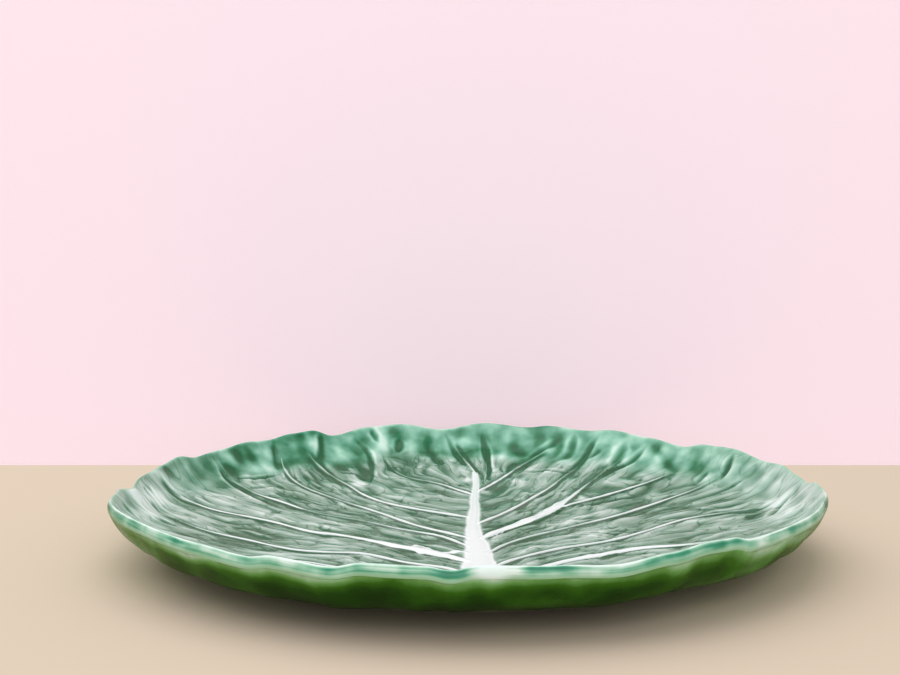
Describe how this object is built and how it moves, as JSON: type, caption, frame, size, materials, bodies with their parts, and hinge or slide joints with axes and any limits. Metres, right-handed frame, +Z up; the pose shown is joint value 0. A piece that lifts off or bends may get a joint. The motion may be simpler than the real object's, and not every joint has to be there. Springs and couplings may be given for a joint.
{
  "type": "cabbage leaf platter",
  "caption": "Round shallow serving platter shaped as a cabbage leaf, with a rippled flared rim, a raised midrib and side veins, and a low foot ring.",
  "frame": {"origin": "centre of the foot ring on the table, under the middle of the platter", "axes": "+Z up, the leaf's stalk end points towards -Y and its tip towards +Y, +X to the right as seen in the picture"},
  "size_m": [0.3157, 0.3179, 0.0324],
  "materials": {
    "clay": "fired earthenware under glaze",
    "bare_clay": "bare fired earthenware",
    "green_glaze": "glossy copper-green glaze",
    "olive_glaze": "glossy olive-green glaze",
    "white_glaze": "glossy white glaze",
    "rib_glaze": "glossy darker copper-green glaze"
  },
  "bodies": {
    "root": {"leaf_body": "clay", "foot_ring": "bare_clay", "face_glaze": "green_glaze", "back_glaze": "olive_glaze", "recess_glaze": "olive_glaze", "midrib": "white_glaze", "left_vein_1": "green_glaze", "left_vein_2": "green_glaze", "left_vein_3": "white_glaze", "left_vein_4": "green_glaze", "left_vein_5": "green_glaze", "left_vein_6": "green_glaze", "left_vein_7": "green_glaze", "right_vein_1": "green_glaze", "right_vein_2": "white_glaze", "right_vein_3": "green_glaze", "right_vein_4": "green_glaze", "right_vein_5": "green_glaze", "right_vein_6": "white_glaze", "right_vein_7": "green_glaze", "right_vein_8": "green_glaze", "tip_vein_left": "rib_glaze", "tip_vein_right": "rib_glaze"}
  },
  "joints": []
}
